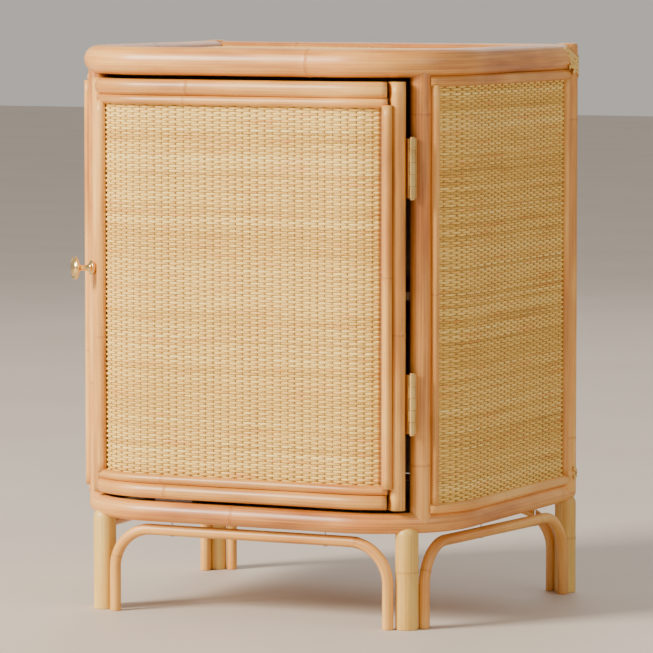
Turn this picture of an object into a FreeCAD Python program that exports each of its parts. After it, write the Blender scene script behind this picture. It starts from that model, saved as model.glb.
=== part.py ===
"""Small rattan side cabinet with one curved, hinged door.

Frame: +Z up, front of the cabinet faces -Y, origin on the floor at the middle of the plan.
Lengths are millimetres and angles are degrees.
"""
import FreeCAD
import Part
import Sketcher
import math
import os

DOC = FreeCAD.newDocument("side_cabinet")
SHEET = DOC.addObject("Spreadsheet::Sheet", "Sizes")

SIZES = {
    # plan of the frame, measured on the centre line of the bent poles
    "half_width": 212.5,
    "front_depth": 176.0,
    "corner_radius": 100.0,
    "hoop_end": 168.0,
    "bottom_hoop_end": 187.0,
    # bent poles that form the top and the bottom of the case
    "top_level": 584.7,
    "top_pole": 15.3,
    "top_rail_pole": 14.5,
    "bottom_level": 110.2,
    "bottom_pole": 11.4,
    "bottom_rail_pole": 11.0,
    # upright poles
    "rear_post_side": 215.0,
    "rear_post_back": 176.0,
    "rear_post_pole": 12.0,
    "rear_post_top": 600.0,
    "rear_leg_pole": 12.0,
    "leg_side": 177.7,
    "leg_front": 153.9,
    "leg_pole": 12.5,
    "leg_dome": 8.0,
    "leg_top": 106.5,
    "front_post_angle": 41.4,
    "latch_post_shift": 14.5,
    "latch_post_reach": 98.5,
    "front_post_pole": 11.5,
    # bent canes that brace the legs under the case
    "arch_pole": 6.0,
    "arch_level": 89.4,
    "side_arch_level": 87.6,
    "arch_bend": 43.0,
    "front_arch_side": 160.0,
    "front_arch_centre": 1.5,
    "front_arch_front": 166.0,
    "back_arch_side": 196.9,
    "back_arch_back": 179.4,
    "side_arch_x": 205.6,
    "side_arch_y": 8.3,
    "side_arch_half": 150.4,
    "side_arch_turn": 84.7,
    # boards
    "board": 8.0,
    "thin_board": 5.0,
    "weave": 2.0,
    "top_board_level": 583.0,
    "bottom_board_level": 106.2,
    "shelf_level": 340.0,
    "cleat": 11.0,
    "panel_low": 121.6,
    "panel_high": 569.2,
    "side_panel_outer": 5.0,
    "bead_width": 9.0,
    "bead_depth": 6.5,
    # door
    "door_low": 124.7,
    "door_high": 565.7,
    "door_outer": 11.4,
    "door_thick": 18.0,
    "door_gap_hinge": 19.4,
    "door_gap_latch": 0.8,
    "stile_width": 15.0,
    "rail_width": 16.7,
    "low_rail_width": 15.5,
    "door_bead_width": 10.0,
    "door_bead_depth": 9.0,
    # butt hinges
    "hinge_length": 61.0,
    "upper_hinge_level": 477.3,
    "lower_hinge_level": 234.7,
    "hinge_reach": 112.4,
    "hinge_offset": 15.0,
    "knuckle": 3.6,
    "pin": 1.5,
    "leaf": 1.5,
    # knob
    "knob_level": 364.0,
    "knob_head": 12.5,
}


class Size:
    """A length or angle together with the sheet expression that gives it."""

    def __init__(self, value, text):
        self.value = value
        self.text = text

    def _join(self, sign, other, value):
        return Size(value, "(%s %s %s)" % (self.text, sign, number(other).text))

    def __add__(self, other):
        return self._join("+", other, self.value + number(other).value)

    def __sub__(self, other):
        return self._join("-", other, self.value - number(other).value)

    def __mul__(self, other):
        return self._join("*", other, self.value * number(other).value)

    def __neg__(self):
        return Size(-self.value, "(0 - %s)" % self.text)


def number(value):
    """Wrap a plain number so that it can stand beside sheet sizes."""
    if isinstance(value, Size):
        return value
    return Size(float(value), repr(float(value)))


def size(name):
    """The sheet cell called name."""
    return Size(SIZES[name], "Sizes." + name)


def cosine(angle):
    """Cosine of a sheet angle in degrees."""
    return Size(math.cos(math.radians(angle.value)), "cos(%s * 1 deg)" % angle.text)


def sine(angle):
    """Sine of a sheet angle in degrees."""
    return Size(math.sin(math.radians(angle.value)), "sin(%s * 1 deg)" % angle.text)


def fill_sheet():
    """Write every size into the sheet under its own name."""
    for row, (name, value) in enumerate(SIZES.items(), start=1):
        SHEET.set("A%d" % row, name)
        SHEET.set("B%d" % row, str(value))
        SHEET.setAlias("B%d" % row, name)
    DOC.recompute()


# ---------------------------------------------------------------- general helpers

def body(name):
    """A new, empty body."""
    new = DOC.addObject("PartDesign::Body", name)
    new.Label = name
    return new


def plane(owner, role):
    """One of the body's own origin planes."""
    return [f for f in owner.Origin.OriginFeatures if f.Role == role][0]


def sketch(owner, name, role="XY_Plane", lift=None):
    """A sketch on an origin plane of the body, lifted off it when asked."""
    new = owner.newObject("Sketcher::SketchObject", name)
    new.AttachmentSupport = [(plane(owner, role), "")]
    new.MapMode = "FlatFace"
    if lift is not None:
        new.setExpression(".AttachmentOffset.Base.z", lift.text)
    return new


def constrain(drawing, constraint, value):
    """Add one dimension to a sketch and tie it to the sheet."""
    index = drawing.addConstraint(Sketcher.Constraint(*constraint, value.value))
    drawing.setExpression("Constraints[%d]" % index, value.text)


def relate(drawing, *constraint):
    """Add one geometric constraint to a sketch."""
    drawing.addConstraint(Sketcher.Constraint(*constraint))


def circle(drawing, radius, x=None, y=None):
    """A circle, at the sketch's origin unless a centre is given."""
    centre = FreeCAD.Vector(x.value if x else 0.0, y.value if y else 0.0, 0.0)
    index = drawing.addGeometry(Part.Circle(centre, FreeCAD.Vector(0, 0, 1), radius.value))
    if x is None:
        relate(drawing, "Coincident", index, 3, -1, 1)
    else:
        constrain(drawing, ("DistanceX", -1, 1, index, 3), x)
        constrain(drawing, ("DistanceY", -1, 1, index, 3), y)
    constrain(drawing, ("Radius", index), radius)


def polygon(drawing, points):
    """A closed outline of straight lines through the given points."""
    corners = [FreeCAD.Vector(x.value, y.value, 0.0) for x, y in points]
    first = drawing.GeometryCount
    count = len(points)
    for i in range(count):
        drawing.addGeometry(Part.LineSegment(corners[i], corners[(i + 1) % count]))
    for i in range(count):
        relate(drawing, "Coincident", first + i, 2, first + (i + 1) % count, 1)
    for i, (x, y) in enumerate(points):
        constrain(drawing, ("DistanceX", -1, 1, first + i, 1), x)
        constrain(drawing, ("DistanceY", -1, 1, first + i, 1), y)


def pad(owner, drawing, length):
    """Pad a sketch."""
    feature = owner.newObject("PartDesign::Pad", drawing.Name + "_pad")
    feature.Profile = drawing
    feature.setExpression("Length", length.text)
    drawing.Visibility = False
    return feature


def pocket_all(owner, drawing):
    """Cut a sketch right through the body, both ways."""
    feature = owner.newObject("PartDesign::Pocket", drawing.Name + "_cut")
    feature.Profile = drawing
    feature.Type = "ThroughAll"
    feature.Midplane = True
    return feature


def pipe(owner, profile, spine):
    """Sweep a profile sketch along a path sketch."""
    feature = owner.newObject("PartDesign::AdditivePipe", profile.Name + "_sweep")
    feature.Profile = profile
    feature.Spine = (spine, [])
    return feature


def revolve(owner, drawing, degrees=360.0):
    """Turn a sketch on the XZ plane about the upright axis of the sketch."""
    feature = owner.newObject("PartDesign::Revolution", drawing.Name + "_turn")
    feature.Profile = drawing
    feature.ReferenceAxis = (drawing, ["V_Axis"])
    feature.Angle = degrees
    return feature


def round_edges(owner, base, wanted, radius):
    """Round the edges of a feature that the test picks out."""
    DOC.recompute()
    names = ["Edge%d" % (i + 1) for i, e in enumerate(base.Shape.Edges) if wanted(e)]
    feature = owner.newObject("PartDesign::Fillet", base.Name + "_round")
    feature.Base = (base, names)
    feature.Radius = radius
    return feature


def place(item, x=None, y=None, z=None):
    """Tie the item's position to the sheet."""
    for axis, value in (("x", x), ("y", y), ("z", z)):
        if value is not None:
            item.setExpression(".Placement.Base.%s" % axis, value.text)


def turn(item, axis, degrees):
    """Turn an item about its own origin."""
    item.Placement.Rotation = FreeCAD.Rotation(axis, degrees)


def cut(name, base, tools):
    """The base with every tool taken out of it."""
    tool = tools[0]
    if len(tools) > 1:
        tool = DOC.addObject("Part::Compound", name + "_tools")
        tool.Links = tools
    result = DOC.addObject("Part::Cut", name)
    result.Base = base
    result.Tool = tool
    result.Label = name
    return result


def group(name, items):
    """Several separate solids that form one sub-part."""
    result = DOC.addObject("Part::Compound", name)
    result.Links = items
    result.Label = name
    return result


def fuse(name, items):
    """Several solids joined into one."""
    result = DOC.addObject("Part::MultiFuse", name)
    result.Shapes = items
    result.Refine = True
    result.Label = name
    return result


# ---------------------------------------------------------------- plan outlines

def outline(drawing, inset, back):
    """Closed plan shape: straight back and sides, round front corners, straight front."""
    half = size("half_width") - inset
    radius = size("corner_radius") - inset
    front = -(size("front_depth") - inset)
    hw, r, yf, yb = half.value, radius.value, front.value, back.value
    v = FreeCAD.Vector
    up = v(0, 0, 1)
    turn_deg = math.pi / 2
    left = Part.Circle(v(r - hw, yf + r, 0), up, r)
    right = Part.Circle(v(hw - r, yf + r, 0), up, r)
    first = drawing.GeometryCount
    drawing.addGeometry(Part.LineSegment(v(-hw, yb, 0), v(-hw, yf + r, 0)))
    drawing.addGeometry(Part.ArcOfCircle(left, 2 * turn_deg, 3 * turn_deg))
    drawing.addGeometry(Part.LineSegment(v(r - hw, yf, 0), v(hw - r, yf, 0)))
    drawing.addGeometry(Part.ArcOfCircle(right, 3 * turn_deg, 4 * turn_deg))
    drawing.addGeometry(Part.LineSegment(v(hw, yf + r, 0), v(hw, yb, 0)))
    drawing.addGeometry(Part.LineSegment(v(hw, yb, 0), v(-hw, yb, 0)))
    for i in range(4):
        relate(drawing, "Tangent", first + i, 2, first + i + 1, 1)
    relate(drawing, "Coincident", first + 4, 2, first + 5, 1)
    relate(drawing, "Coincident", first + 5, 2, first, 1)
    relate(drawing, "Vertical", first)
    relate(drawing, "Horizontal", first + 5)
    relate(drawing, "Equal", first + 1, first + 3)
    relate(drawing, "Vertical", first + 4)
    relate(drawing, "Symmetric", first + 2, 1, first + 2, 2, -2)
    constrain(drawing, ("Radius", first + 1), radius)
    constrain(drawing, ("DistanceX", -1, 1, first + 4, 1), half)
    constrain(drawing, ("DistanceY", -1, 1, first + 2, 1), front)
    constrain(drawing, ("DistanceY", -1, 1, first + 4, 2), back)


def hoop_path(drawing, end):
    """Open path of a hoop: down one side, round the front and back along the other side."""
    outline(drawing, number(0), end)
    drawing.toggleConstruction(5)


def corner(side, reach, offset):
    """Point given by its distance out from the corner's centre and towards the door.

    The outward direction passes through the middle of the front post.
    """
    angle = size("front_post_angle")
    out_x, out_y = cosine(angle), sine(angle)
    base_x = size("half_width") - size("corner_radius")
    base_y = -(size("front_depth") - size("corner_radius"))
    x = base_x + reach * out_x - offset * out_y
    y = base_y - reach * out_y - offset * out_x
    if side < 0:
        x = -x
    return x, y


def post_shift(side):
    """How far a front post stands round the corner from the outward direction."""
    return number(0) if side > 0 else size("latch_post_shift")


def band(name, outer, inner, low, high, sector, back=None):
    """Upright band that follows the plan between two insets, trimmed to a sector."""
    owner = body(name)
    back = back or number(300.0)
    shell = sketch(owner, name + "_outer", lift=low)
    outline(shell, outer, back)
    pad(owner, shell, high - low)
    hollow = sketch(owner, name + "_inner", lift=low)
    outline(hollow, inner, back + 1.0)
    pocket_all(owner, hollow)
    keep = sketch(owner, name + "_sector", lift=low)
    polygon(keep, sector)
    last = pocket_all(owner, keep)
    DOC.recompute()
    return owner, last


def door_sector(hinge_side, latch_side):
    """Everything that is not between the two end planes of the door."""
    reach = number(200.0)
    inner = number(30.0)
    right_far = corner(1, reach, hinge_side)
    right_near = corner(1, inner, hinge_side)
    left_near = corner(-1, inner, latch_side)
    left_far = corner(-1, reach, latch_side)
    big = number(400.0)
    return [(-big, big), (big, big), (big, right_far[1]), right_far,
            right_near, left_near, left_far, (-big, left_far[1])]


def stile_sector(side, start, width):
    """Everything that is not one upright at an end of the door."""
    reach = number(200.0)
    inner = number(30.0)
    far_a = corner(side, reach, start)
    near_a = corner(side, inner, start)
    near_b = corner(side, inner, start + width)
    far_b = corner(side, reach, start + width)
    big = 400.0 * side
    return [(number(-big), number(400.0)), (number(big), number(400.0)), (number(big), far_a[1]),
            far_a, near_a, near_b, far_b, (far_b[0], number(-400.0)),
            (number(-big), number(-400.0))]


def side_sector(side, front_gap, back):
    """Everything that is not the side wall between the front post and the rear post."""
    reach = number(250.0)
    inner = number(20.0)
    far = corner(side, reach, front_gap)
    near = corner(side, inner, front_gap)
    big = 400.0 * side
    return [(number(-big), number(-400.0)), (far[0], number(-400.0)), far, near,
            (near[0], back), (number(big), back), (number(big), number(450.0)),
            (number(-big), number(450.0))]


# ---------------------------------------------------------------- case frame

def upright(name, radius, top, low=None):
    """Round pole standing on the plan point it is placed at."""
    owner = body(name)
    ring = sketch(owner, name + "_ring", lift=low)
    circle(ring, radius)
    length = top - low if low else top
    return owner, pad(owner, ring, length)


def rear_posts():
    """The two poles at the back corners, standing on the ends of the bottom hoop."""
    made = {}
    for side, word in ((-1, "left"), (1, "right")):
        name = "rear_%s_post" % word
        owner, base = upright(name + "_pole", size("rear_post_pole"), size("rear_post_top"),
                              size("bottom_level"))
        round_edges(owner, base, at_height(SIZES["rear_post_top"]), 3.5)
        place(owner, size("rear_post_side") * side, size("rear_post_back"))
        made[word] = owner
    return made


def at_height(level):
    """Test for edges that lie wholly at one height."""
    return lambda e: all(abs(v.Point.z - level) < 0.01 for v in e.Vertexes)


def at_depth(level):
    """Test for edges that lie wholly at one distance back."""
    return lambda e: all(abs(v.Point.y - level) < 0.01 for v in e.Vertexes)


def hoop_pole(name, level, radius, end):
    """Pole bent round three sides of the case; its ends have rounded edges."""
    owner = body(name)
    path = sketch(owner, name + "_path", lift=level)
    hoop_path(path, end)
    ring = sketch(owner, name + "_ring", "XZ_Plane", lift=-end)
    circle(ring, radius, -size("half_width"), level)
    base = pipe(owner, ring, path)
    round_edges(owner, base, at_depth(end.value), 2.5)
    return owner


def back_rail(name, level, radius, half, tools):
    """Straight pole across the back, coped to what it meets at both ends."""
    pole = DOC.addObject("Part::Cylinder", name + "_pole")
    length = half * 2
    pole.setExpression("Radius", radius.text)
    pole.setExpression("Height", length.text)
    turn(pole, FreeCAD.Vector(0, 1, 0), 90)
    place(pole, -half, size("rear_post_back"), level)
    return cut(name, pole, tools)


def legs(bottom_hoop):
    """Four short legs with domed tops, coped under the bottom hoop."""
    front = (size("leg_side"), -size("leg_front"), size("leg_pole"))
    rear = (size("rear_post_side"), size("rear_post_back"), size("rear_leg_pole"))
    for end, (x, y, r) in (("front", front), ("rear", rear)):
        for side, word in ((-1, "left"), (1, "right")):
            name = "%s_%s_leg" % (end, word)
            owner = body(name + "_pole")
            half = sketch(owner, name + "_half", "XZ_Plane")
            top, dome = size("leg_top"), size("leg_dome")
            polygon(half, [(number(0), number(0)), (r - 1.0, number(0)), (r, number(1.0)),
                           (r, top - dome), (r - 1.4, top - dome * 0.5), (r - 6.0, top),
                           (number(0), top)])
            base = revolve(owner, half)
            round_edges(owner, base, dome_edge, 3.0)
            place(owner, x * side, y)
            cut(name, owner, [bottom_hoop])


def dome_edge(edge):
    """Test for the circles where the dome of a leg changes slope."""
    low = SIZES["leg_top"] - SIZES["leg_dome"] * 0.6
    return all(v.Point.z > low for v in edge.Vertexes) and edge.Length > 30.0


# ---------------------------------------------------------------- leg arches

def arch(name, half, level):
    """Cane bent into an arch: up from the floor, along under the case and down again."""
    owner = body(name + "_cane")
    path = sketch(owner, name + "_path", "XZ_Plane")
    r, h, top = SIZES["arch_bend"], half.value, level.value
    v = FreeCAD.Vector
    up = v(0, 0, 1)
    quarter = math.pi / 2
    path.addGeometry(Part.LineSegment(v(-h, 0, 0), v(-h, top - r, 0)))
    path.addGeometry(Part.ArcOfCircle(Part.Circle(v(r - h, top - r, 0), up, r), quarter, 2 * quarter))
    path.addGeometry(Part.LineSegment(v(r - h, top, 0), v(h - r, top, 0)))
    path.addGeometry(Part.ArcOfCircle(Part.Circle(v(h - r, top - r, 0), up, r), 0.0, quarter))
    path.addGeometry(Part.LineSegment(v(h, top - r, 0), v(h, 0, 0)))
    relate(path, "Tangent", 0, 2, 1, 2)
    relate(path, "Tangent", 1, 1, 2, 1)
    relate(path, "Tangent", 2, 2, 3, 2)
    relate(path, "Tangent", 3, 1, 4, 1)
    relate(path, "Vertical", 0)
    relate(path, "Vertical", 4)
    relate(path, "Horizontal", 2)
    relate(path, "Equal", 1, 3)
    relate(path, "Symmetric", 0, 1, 4, 2, -1, 1)
    constrain(path, ("Radius", 1), size("arch_bend"))
    constrain(path, ("DistanceX", -1, 1, 4, 2), half)
    constrain(path, ("DistanceY", -1, 1, 2, 1), level)
    foot = sketch(owner, name + "_foot")
    circle(foot, size("arch_pole"), -half, number(0))
    pipe(owner, foot, path)
    return owner


def pin_rod(name, radius, length, point):
    """Upright rod standing on a point."""
    rod = DOC.addObject("Part::Cylinder", name)
    rod.Radius = radius
    rod.Height = length
    place(rod, *[number(value) for value in point])
    return rod


def nail(name, point, length):
    """Panel pin driven upwards, with a thin flat head; the point is the underside of the head."""
    x, y, z = point
    shank = pin_rod(name + "_shank", 0.9, length, point)
    head = pin_rod(name + "_head", 2.0, 0.8, (x, y, z - 0.8))
    return fuse(name, [shank, head])


def arches():
    """The four leg arches with the pins that hold them up into the case."""
    high, low = size("arch_level"), size("side_arch_level")
    front = arch("front_arch", size("front_arch_side"), high)
    place(front, size("front_arch_centre"), -size("front_arch_front"))
    back = arch("back_arch", size("back_arch_side"), high)
    place(back, None, size("back_arch_back"))
    left = arch("left_arch", size("side_arch_half"), low)
    turn(left, FreeCAD.Vector(0, 0, 1), -SIZES["side_arch_turn"])
    place(left, -size("side_arch_x"), size("side_arch_y"))
    right = arch("right_arch", size("side_arch_half"), low)
    turn(right, FreeCAD.Vector(0, 0, 1), SIZES["side_arch_turn"])
    place(right, size("side_arch_x"), size("side_arch_y"))
    return {"front_arch": front, "back_arch": back, "left_arch": left, "right_arch": right}


def arch_pins():
    """Pins driven up through the arches into the poles above them."""
    high, low = SIZES["arch_level"], SIZES["side_arch_level"]
    spots = []
    for x in (-90.0, 90.0):
        spots.append((x, -SIZES["front_arch_front"] - 1.0, high))
        spots.append((x, SIZES["back_arch_back"] - 1.0, high))
    for side in (-1.0, 1.0):
        spots.append((side * (SIZES["side_arch_x"] - 3.0), -22.0, low))
        spots.append((side * (SIZES["side_arch_x"] + 8.0), 96.0, low))
    drop = SIZES["arch_pole"] - 0.4
    return [nail("arch_pin_%d" % i, (x, y, level - drop), 26.0)
            for i, (x, y, level) in enumerate(spots)]


# ---------------------------------------------------------------- boards

def flat_board(name, inset, back, low, thick, tools):
    """Horizontal board that follows the plan, trimmed by the tools."""
    owner = body(name + "_blank" if tools else name)
    shape = sketch(owner, name + "_plan", lift=low)
    outline(shape, inset, back)
    pad(owner, shape, thick)
    if tools:
        return cut(name, owner, tools)
    return owner


def shelf(posts):
    """Middle shelf: reaches the side walls and stays clear of the door and posts."""
    owner = body("shelf_blank")
    low = size("shelf_level")
    plan = sketch(owner, "shelf_plan", lift=low)
    outline(plan, number(0.3), size("rear_post_back") - 4.0)
    pad(owner, plan, size("board"))
    zone = sketch(owner, "shelf_front", lift=low)
    edge = number(-138.0)
    big = number(400.0)
    reach = -(size("front_depth") - size("door_thick") + size("door_outer") - 2.0)
    side = size("half_width") - 62.0
    latch = number(-110.0)
    polygon(zone, [(-big, latch), (-size("half_width") + 22.5, latch),
                   (-size("half_width") + 44.0, edge), (-side + 30.0, reach),
                   (side - 30.0, reach), (size("half_width") - 44.0, edge), (big, edge),
                   (big, -big), (-big, -big)])
    pocket_all(owner, zone)
    return cut("shelf", owner, posts)


def cleats():
    """Battens fixed to the side and back walls that carry the shelf."""
    items = []
    c = size("cleat")
    top = size("shelf_level")
    for side in (-1, 1):
        bar = DOC.addObject("Part::Box", "cleat_side_%d" % (side + 1))
        bar.setExpression("Length", c.text)
        bar.setExpression("Height", c.text)
        bar.Width = 200.0
        inner = size("half_width") - c if side > 0 else -size("half_width")
        place(bar, inner, number(-60.0), top - c)
        items.append(bar)
    bar = DOC.addObject("Part::Box", "cleat_back")
    bar.Length = 340.0
    bar.setExpression("Width", c.text)
    bar.setExpression("Height", c.text)
    place(bar, number(-170.0), size("rear_post_back") - 3.0 - c, top - c)
    items.append(bar)
    return group("shelf_cleats", items)


def long_edges(level_low, level_high, is_outer):
    """Test for the long outer edges of a horizontal strip."""
    def test(edge):
        zs = [v.Point.z for v in edge.Vertexes]
        if max(zs) - min(zs) > 0.01:
            return False
        if min(abs(zs[0] - level_low), abs(zs[0] - level_high)) > 0.01:
            return False
        return is_outer(edge)
    return test


def off_centre_line(point):
    """Distance of a point outside the centre line of the plan."""
    hw, r = SIZES["half_width"], SIZES["corner_radius"]
    cx, cy = hw - r, r - SIZES["front_depth"]
    x, y = abs(point.x), point.y
    if x > cx and y < cy:
        return math.hypot(x - cx, y - cy) - r
    if y < cy:
        return -SIZES["front_depth"] - y
    return x - hw


def edge_offset(edge, value):
    """Whether an edge runs along one offset of the plan."""
    middle = edge.valueAt((edge.FirstParameter + edge.LastParameter) / 2)
    points = [v.Point for v in edge.Vertexes] + [middle]
    return all(abs(off_centre_line(p) - value) < 0.05 for p in points)


def strip(name, outer, depth, low, high, sector, radius, uprights=False):
    """Band whose outer long edges are rounded."""
    owner, last = band(name, -outer, -(outer - depth), low, high, sector)
    face = outer.value
    if uprights:
        def wanted(edge):
            zs = [v.Point.z for v in edge.Vertexes]
            return max(zs) - min(zs) > 1.0 and edge_offset(edge, face)
    else:
        wanted = long_edges(low.value, high.value, lambda e: edge_offset(e, face))
    round_edges(owner, last, wanted, radius)
    return owner


# ---------------------------------------------------------------- side and back walls

def side_walls(posts, hoops):
    """Backing board, weave sheet and beading of each side wall."""
    face = size("side_panel_outer")
    weave = size("weave")
    bead = size("bead_width")
    depth = size("bead_depth")
    low, high = size("panel_low"), size("panel_high")
    back = size("rear_post_back") - 4.0
    for side, word in ((-1, "left"), (1, "right")):
        front_gap = -(size("front_post_pole") - 5.0 + post_shift(side))
        front = "front_%s_post" % word
        trim = [DOC.getObject(front + "_pole"), posts[word]]
        sector = side_sector(side, front_gap, back)
        board = band("%s_side_board" % word, -face, number(0), low, high, sector)[0]
        cut("%s_side_panel" % word, board, trim)
        skin = band("%s_side_sheet" % word, -(face + weave), -face, low + bead, high - bead,
                    sector)[0]
        trims = []
        nest = number(2.4)
        for end, level in (("low", low - nest), ("high", high - bead)):
            strip_name = "%s_side_%s_bead" % (word, end)
            item = strip(strip_name, face + depth, depth, level, level + bead + nest, sector, 4.2)
            trims.append(item)
        posts_beads = side_bead_uprights(side, word, face, depth, low + bead, high - bead)
        parts = []
        for item in trims + posts_beads:
            parts.append(cut(item.Name + "_fit", item, trim + hoops))
        beading = group("%s_side_beading" % word, parts)
        cut("%s_side_weave" % word, skin, trim + posts_beads)


def side_bead_uprights(side, word, face, depth, low, high):
    """Upright beads beside the front and rear posts of a side wall."""
    items = []
    bead = size("bead_width")
    start = -(size("front_post_pole") + bead - 3.0 + post_shift(side))
    reach, inner = number(250.0), number(20.0)
    far_a = corner(side, reach, start)
    near_a = corner(side, inner, start)
    far_b = corner(side, reach, start + bead)
    near_b = corner(side, inner, start + bead)
    big = 400.0 * side
    sector = [(number(-big), number(-400.0)), (far_b[0], number(-400.0)), far_b, near_b, near_a,
              far_a, (number(big), far_a[1]), (number(big), number(400.0)),
              (number(-big), number(400.0))]
    items.append(strip("%s_side_front_bead" % word, face + depth, depth, low, high, sector, 3.8,
                       True))
    rear = size("rear_post_back") - size("rear_post_pole") - bead + 2.5
    box = [(number(-big), number(-400.0)), (number(big), number(-400.0)), (number(big), rear),
           (number(big * 0.1), rear), (number(big * 0.1), rear + bead),
           (number(big), rear + bead), (number(big), number(400.0)), (number(-big), number(400.0))]
    items.append(strip("%s_side_rear_bead" % word, face + depth, depth, low, high, box, 3.8, True))
    return items


def back_wall(posts):
    """Backing board, weave sheet and beading of the back wall."""
    half = size("rear_post_side") - 6.0
    y = size("rear_post_back")
    low, high = size("panel_low"), size("panel_high")
    bead = size("bead_width")
    trim = [posts["left"], posts["right"]]
    owner = body("back_board")
    plan = sketch(owner, "back_board_plan", lift=low)
    polygon(plan, [(-half, y - 3.0), (half, y - 3.0), (half, y + 2.0), (-half, y + 2.0)])
    pad(owner, plan, high - low)
    cut("back_panel", owner, trim)
    sheet_body = body("back_sheet")
    plan = sketch(sheet_body, "back_sheet_plan", lift=low + bead)
    polygon(plan, [(-half, y + 2.0), (half, y + 2.0), (half, y + 4.0), (-half, y + 4.0)])
    pad(sheet_body, plan, high - low - bead * 2)
    beads = []
    inner = size("rear_post_side") - size("rear_post_pole") - bead + 2.0
    outer = size("rear_post_side") - 6.0
    spans = [("low", -outer, outer, low, bead), ("high", -outer, outer, high - bead, bead),
             ("left", -outer, -inner, low + bead, high - low - bead * 2),
             ("right", inner, outer, low + bead, high - low - bead * 2)]
    for word, x0, x1, z0, height in spans:
        item = body("back_bead_" + word)
        plan = sketch(item, "back_bead_%s_plan" % word, lift=z0)
        polygon(plan, [(x0, y + 2.0), (x1, y + 2.0), (x1, y + 8.5), (x0, y + 8.5)])
        base = pad(item, plan, height)
        round_edges(item, base, back_bead_edges(word, y.value + 8.5), 3.8)
        beads.append(item)
    fitted = [cut(item.Name + "_fit", item, trim) for item in beads]
    group("back_beading", fitted)
    cut("back_weave", sheet_body, trim + beads[2:])


def back_bead_edges(word, face):
    """Test for the long outer edges of one bead on the back."""
    along_x = word in ("low", "high")

    def test(edge):
        points = [v.Point for v in edge.Vertexes]
        if any(abs(p.y - face) > 0.01 for p in points):
            return False
        span = abs(points[0].x - points[1].x) if along_x else abs(points[0].z - points[1].z)
        return span > 50.0
    return test


def bindings():
    """Bands of split cane lashed round the outside of the rear corner joints.

    Each band starts at the beading of the side wall and ends at the beading of the back.
    """
    items = []
    r = size("rear_post_pole")
    wrap = r + 1.2
    height = number(12.5)
    start, sweep = -41.0, 176.0
    levels = (size("panel_high") - 14.0, size("panel_low") + 1.0)
    for side in (-1, 1):
        for index, level in enumerate(levels):
            name = "binding_%d_%d" % (side + 1, index)
            owner = body(name)
            section = sketch(owner, name + "_section", "XZ_Plane")
            polygon(section, [(r, level), (wrap, level), (wrap, level + height),
                              (r, level + height)])
            revolve(owner, section, sweep)
            first = start if side > 0 else 180.0 - start - sweep
            turn(owner, FreeCAD.Vector(0, 0, 1), first)
            place(owner, size("rear_post_side") * side, size("rear_post_back"))
            items.append(owner)
    return group("corner_bindings", items)


# ---------------------------------------------------------------- door

def door():
    """Frame, panel, weave sheet and beading of the curved door."""
    outer = size("door_outer")
    thick = size("door_thick")
    low, high = size("door_low"), size("door_high")
    rail, stile = size("rail_width"), size("stile_width")
    hinge, latch = size("door_gap_hinge"), size("door_gap_latch")
    between = door_sector(hinge + stile, latch + stile)
    low_rail = size("low_rail_width")
    strip("door_bottom_rail", outer, thick, low, low + low_rail, between, 6.0)
    strip("door_top_rail", outer, thick, high - rail, high, between, 6.0)
    strip("door_hinge_stile", outer, thick, low, high, stile_sector(1, hinge, stile), 3.5, True)
    strip("door_latch_stile", outer, thick, low, high, stile_sector(-1, latch, stile), 3.5, True)
    bead = size("door_bead_width")
    depth = size("door_bead_depth")
    face = outer - 1.5
    base = low + low_rail + bead
    items = [
        strip("door_bead_low", face, depth, low + low_rail, base, between, 4.5),
        strip("door_bead_high", face, depth, high - rail - bead, high - rail, between, 4.5),
        strip("door_bead_hinge", face, depth, base, high - rail - bead,
              stile_sector(1, hinge + stile, bead), 4.5, True),
        strip("door_bead_latch", face, depth, base, high - rail - bead,
              stile_sector(-1, latch + stile, bead), 4.5, True),
    ]
    group("door_beading", items)
    board = size("thin_board")
    back_face = face - depth
    band("door_panel", -back_face, -(back_face - board), low + low_rail, high - rail, between)
    inside = door_sector(hinge + stile + bead, latch + stile + bead)
    band("door_weave", -(back_face + size("weave") + 1.0), -back_face, base,
         high - rail - bead, inside)


# ---------------------------------------------------------------- hinges

def local_plate(name, reach_in, reach_out, near, far, low, high):
    """Flat plate drawn in the hinge corner: reach is outwards, near and far are towards the door."""
    owner = body(name)
    plan = sketch(owner, name + "_plan", lift=low)
    polygon(plan, [corner(1, reach_in, near), corner(1, reach_out, near),
                   corner(1, reach_out, far), corner(1, reach_in, far)])
    pad(owner, plan, high - low)
    return owner


def knuckle_rod(name, radius, low, high):
    """Upright rod on the hinge axis."""
    owner = body(name)
    ring = sketch(owner, name + "_ring", lift=low)
    circle(ring, radius, *corner(1, size("hinge_reach"), size("hinge_offset")))
    pad(owner, ring, high - low)
    return owner


def countersunk(name, side, reach, start, direction, level):
    """Countersunk wood screw driven level into a post or stile from a hinge leaf."""
    owner = body(name)
    half = sketch(owner, name + "_half", "XZ_Plane")
    polygon(half, [(number(0), number(0)), (number(2.6), number(0)), (number(2.6), number(0.3)),
                   (number(1.4), number(1.5)), (number(1.4), number(10.5)),
                   (number(0), number(12.5))])
    revolve(owner, half)
    angle = math.radians(SIZES["front_post_angle"])
    towards_door = FreeCAD.Vector(-math.sin(angle), -math.cos(angle), 0)
    owner.Placement.Rotation = FreeCAD.Rotation(FreeCAD.Vector(0, 0, 1), towards_door * direction)
    x, y = corner(side, reach, start)
    place(owner, x, y, level)
    return owner


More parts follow.
